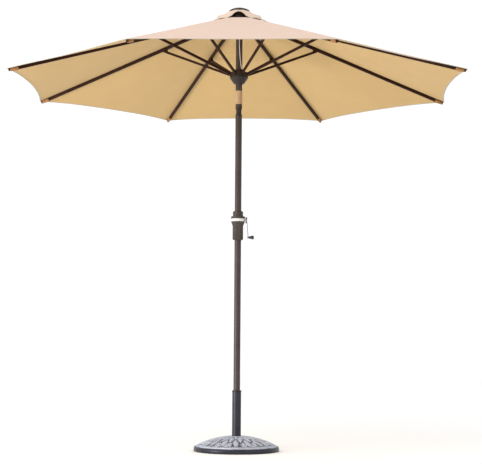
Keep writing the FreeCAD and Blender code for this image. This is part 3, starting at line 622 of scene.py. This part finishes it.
def build_cord():
    """The visible run of the lift cord, from the pulley down to the runner."""
    curve = bpy.data.curves.new("cord_route", "CURVE")
    curve.dimensions = "3D"
    spline = curve.splines.new("NURBS")
    spline.points.add(len(CORD_ROUTE) - 1)
    for point, place in zip(spline.points, CORD_ROUTE):
        point.co = (*place, 1)
    spline.order_u = 3
    spline.use_endpoint_u = True
    curve.resolution_u = 24
    route = bpy.data.objects.new("cord_route", curve)
    line = bpy.data.meshes.new_from_object(route)
    centres = [v.co.copy() for v in line.vertices]
    bpy.data.objects.remove(route)
    frames = []
    for i in range(len(centres)):
        way = neighbours(centres, i).normalized()
        first = way.cross(Vector((0, 1, 0))).normalized()
        frames.append((first, way.cross(first)))
    points, faces = swept(centres, frames, oval(2 * CORD_RADIUS, 2 * CORD_RADIUS, 12))
    cord = new_piece("lift_cord", points, faces, None, "cord", CORD)
    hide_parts("lift_cord_run")
    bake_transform(cord)


def build_strap():
    """The closing strap, wrapped round the pole, with rolled edges and a seam round its middle."""
    low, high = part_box("tie_strap")
    width = high[2] - low[2]
    stand_off = 0.0007
    roll_height, roll_width = 0.0010, 0.003
    seam_depth, seam_width = 0.0006, 0.0015
    pucker = 0.0003
    rows, columns = 40, 72
    points = []
    for i in range(rows):
        part = i / (rows - 1)
        z = low[2] + width * part
        roll = roll_height * math.exp(-min(part, 1 - part) * width / roll_width)
        seam = seam_depth * math.exp(-(((part - 0.5) * width / seam_width) ** 2))
        for j in range(columns):
            angle = 2 * math.pi * j / columns
            wave = pucker * math.sin(5 * angle + 9 * part)
            radius = POLE_RADIUS + stand_off + roll - seam + wave
            points.append((radius * math.cos(angle), radius * math.sin(angle), z))
    faces = grid_faces(rows, columns, closed=True)
    strap = new_piece("closing_strap", points, faces, "upper_mast", "canopy_cloth", STRAP)
    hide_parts("tie_strap")


def build_button_spring():
    """The tilt button's return spring."""
    low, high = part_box("button_spring")
    wire, turns, steps = 0.0008, 6, 16
    radius = (high[0] - low[0]) / 2 - wire / 2
    middle = (high[2] + low[2]) / 2
    start, length = low[1] + wire / 2, high[1] - low[1] - wire
    centres, frames = [], []
    for i in range(turns * steps + 1):
        angle = 2 * math.pi * i / steps
        out = Vector((math.cos(angle), 0, math.sin(angle)))
        centres.append(out * radius + Vector((0, start + length * i / (turns * steps), middle)))
        frames.append((out, Vector((0, 1, 0))))
    points, faces = swept(centres, frames, oval(wire, wire, 8))
    spring = new_piece("return_spring", points, faces, "mast", "zinc_steel", ZINC)
    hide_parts("button_spring")
    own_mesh(spring)


# ---------------------------------------------------------------- cast base

RIB_WIDTH = 0.0022  # a leaf's middle rib
VEIN_SPACING = 0.0125
TENDRIL_WIDTH = 0.0028


def ridge(offset, width):
    """How high a rounded ridge stands, at a distance from its line."""
    return np.exp(-((offset / width) ** 2))


def leaf(along, across, length, width):
    """How high a veined leaf stands, from its stem at 0 to its tip at length."""
    part = np.clip(along / length, 0, 1)
    half = width * np.sin(np.pi * part**0.75) * 0.5
    inside = np.clip(1 - np.abs(across) / np.maximum(half, 1e-5), 0, 1) * (along > 0) * (along < length)
    body = np.sqrt(inside)
    rib = ridge(across, RIB_WIDTH) * (inside > 0)
    veins = 0.5 + 0.5 * np.cos(2 * np.pi * (along - np.abs(across) * 1.1) / VEIN_SPACING)
    return body * (0.62 + 0.22 * veins) + 0.25 * rib


def scroll(x, y, cx, cy, size, hand, turns=1.6):
    """A spiral tendril round a point, as a raised line that narrows inwards."""
    dx, dy = (x - cx) * hand, y - cy
    radius = np.hypot(dx, dy)
    angle = np.arctan2(dy, dx)
    best = np.zeros_like(radius)
    for lap in range(3):
        turn = angle + 2 * np.pi * lap
        line = size * (1 - turn / (2 * np.pi * turns))
        near = ridge(radius - line, TENDRIL_WIDTH) * (line > 0.002) * (turn > -np.pi)
        best = np.maximum(best, near)
    return best * (radius < size * 1.3)


# rings of leaves on the base: how many, their offset, where they start, their length and width
LEAVES = (
    (16, 0.0, 0.048, 0.060, 0.020),
    (16, 0.5, 0.076, 0.080, 0.029),
    (16, 0.0, 0.124, 0.082, 0.034),
    (32, 0.25, 0.160, 0.048, 0.017),
)
# pairs of tendrils between the leaves: height, distance to the side and out, size and hand
TENDRILS = (
    (0.7, 0.046, 0.186, 0.016, 1),
    (0.6, 0.028, 0.092, 0.011, -1),
)
# raised rings: height, radius and width
RAISED_RINGS = (
    (0.9, 0.2255, 0.0028),
    (0.9, 0.048, 0.0035),
    (0.8, 0.036, 0.0060),
)
BEAD_RING = (0.75, 0.214, 0.0035)
BEADS = 96
SECTORS = 8
DOME_RADIUS, DOME_RISE = 0.236, 0.059
RIM_HEIGHT = 0.024
RELIEF_HEIGHT, RELIEF_SINK = 0.0055, 0.0012
RIM_TONE = 0.15
RINGS, SPOKES = 190, 720


def around(radius, angle, count, turn=0.0):
    """Places in the nearest of count equal sectors, out along its middle line and to its side."""
    step = 2 * np.pi / count
    local = (angle - turn * step + step / 2) % step - step / 2
    return radius * np.cos(local), radius * np.sin(local)


def base_relief(radius, angle):
    """How high the leaves, tendrils, beads and rings stand on the dome, from 0 to about 1."""
    relief = np.zeros_like(radius)
    for count, turn, start, length, width in LEAVES:
        x, y = around(radius, angle, count, turn)
        relief = np.maximum(relief, leaf(x - start, y, length, width))
    x, y = around(radius, angle, SECTORS)
    for side in (1, -1):
        for height, across, out, size, hand in TENDRILS:
            relief = np.maximum(relief, height * scroll(y, x, side * across, out, size, side * hand))
    height, place, width = BEAD_RING
    beads = 0.55 + 0.45 * (0.5 + 0.5 * np.cos(angle * BEADS))
    relief = np.maximum(relief, height * ridge(radius - place, width) * beads)
    for height, place, width in RAISED_RINGS:
        relief = np.maximum(relief, height * ridge(radius - place, width))
    return relief


def base_rim(outer):
    """The rim's outline from the dome's edge down, and on under the casting to its middle."""
    return [
        (DOME_RADIUS + 0.0015, RIM_HEIGHT + 0.0020),
        (outer - 0.0025, RIM_HEIGHT - 0.0005),
        (outer - 0.0005, RIM_HEIGHT - 0.004),
        (outer, 0.016),
        (outer, 0.008),
        (outer - 0.0015, 0.0),
        (0.206, 0.0),
        (0.205, 0.014),
        (0.015, 0.014),
    ]


def build_base():
    """The dome of the cast base, with a leaf and scroll relief between raised rings, and its rim."""
    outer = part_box("base_plate")[1][0]
    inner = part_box("base_tube")[1][0] + 0.0003
    sphere = (DOME_RADIUS**2 + DOME_RISE**2) / (2 * DOME_RISE)
    spokes = np.linspace(0, 2 * np.pi, SPOKES, endpoint=False)
    r = np.linspace(inner, DOME_RADIUS, RINGS)[:, None] * np.ones((1, SPOKES))
    a = spokes[None, :] * np.ones((RINGS, 1))
    dome = RIM_HEIGHT + DOME_RISE - sphere + np.sqrt(sphere**2 - r**2)
    relief = base_relief(r, a)
    z = dome + RELIEF_HEIGHT * relief - RELIEF_SINK
    points = np.stack([r * np.cos(a), r * np.sin(a), z], axis=-1).reshape(-1, 3).tolist()
    # the relief height also goes to the casting's material, which paints shade in its low parts and
    # highlight on its raised ones
    relief_shade_tones = relief.reshape(-1).tolist()
    rim = base_rim(outer)
    for radius, height in rim:
        points += [(radius * math.cos(t), radius * math.sin(t), height) for t in spokes]
        relief_shade_tones += [RIM_TONE] * SPOKES
    base = new_piece(
        "cast_dome",
        points,
        grid_faces(RINGS + len(rim), SPOKES, closed=True),
        "base",
        "cast_base",
        PEWTER,
        CHARCOAL,
    )
    base.data.flip_normals()
    attribute = base.data.attributes.new("relief", "FLOAT", "POINT")
    attribute.data.foreach_set("value", relief_shade_tones)
    rim_start = (RINGS - 1) * SPOKES
    for polygon in base.data.polygons:
        if min(polygon.vertices) >= rim_start:
            polygon.material_index = 1
    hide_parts("base_plate")


# ---------------------------------------------------------------- camera, floor and light

CAMERA_PLACE = (0.225, -7.654, 0.6605)
CAMERA_LENS = 99.96
CAMERA_TURN = (1.55, 4.34, 0.406)  # to the left, up and over, in degrees


def build_camera():
    """The viewing angle: low, from 7.7 m in front, looking slightly up along a long lens."""
    swing, pitch, roll = (math.radians(angle) for angle in CAMERA_TURN)
    forward = math.cos(pitch)
    ahead = Vector((-math.sin(swing) * forward, math.cos(swing) * forward, math.sin(pitch)))
    level = Vector((math.cos(swing), math.sin(swing), 0))
    right = level * math.cos(roll) + level.cross(ahead) * math.sin(roll)
    up = right.cross(ahead)
    data = bpy.data.cameras.new("camera")
    data.lens = CAMERA_LENS
    data.sensor_width = 36.0
    data.clip_end = 60.0
    camera = bpy.data.objects.new("camera", data)
    turn = Matrix((right, up, -ahead)).transposed().to_4x4()
    camera.matrix_world = Matrix.Translation(CAMERA_PLACE) @ turn
    bpy.context.scene.collection.objects.link(camera)
    bpy.context.scene.camera = camera


def area_light(name, place, target, size, power, colour):
    """A square lamp at a place, turned towards its target."""
    data = bpy.data.lights.new(name, "AREA")
    data.size = size
    data.energy = power
    data.color = colour
    light = bpy.data.objects.new(name, data)
    light.location = place
    light.rotation_euler = (Vector(target) - Vector(place)).to_track_quat("-Z", "Y").to_euler()
    bpy.context.scene.collection.objects.link(light)


def build_stage():
    """A pale floor, a white surround, a soft key light and a low light under the canopy."""
    mesh = bpy.data.meshes.new("floor")
    reach = 14.0
    corners = [(-reach, -reach, 0), (reach, -reach, 0), (reach, reach, 0), (-reach, reach, 0)]
    mesh.from_pydata(corners, [], [(0, 1, 2, 3)])
    floor = bpy.data.objects.new("floor", mesh)
    mesh.materials.append(Shader("pale_floor", (0.95, 0.95, 0.95), 0.9).material)
    bpy.context.scene.collection.objects.link(floor)
    world = bpy.data.worlds.new("studio")
    world.use_nodes = True
    background = world.node_tree.nodes["Background"]
    background.inputs["Color"].default_value = (1, 1, 1, 1)
    background.inputs["Strength"].default_value = 1.05
    bpy.context.scene.world = world
    area_light("key", (-3.0, -4.5, 6.0), (0, 0, 2.0), 3.0, 150, (1.0, 0.96, 0.92))
    area_light("low_front", (-4.6, -3.0, 0.5), (-0.4, 0, 2.1), 1.6, 240, (1.0, 0.97, 0.93))
    bpy.context.scene.view_settings.view_transform = "Standard"


build_camera()
dress_cad()
build_canopy()
build_pockets()
build_cord()
build_strap()
build_button_spring()
build_base()
build_stage()
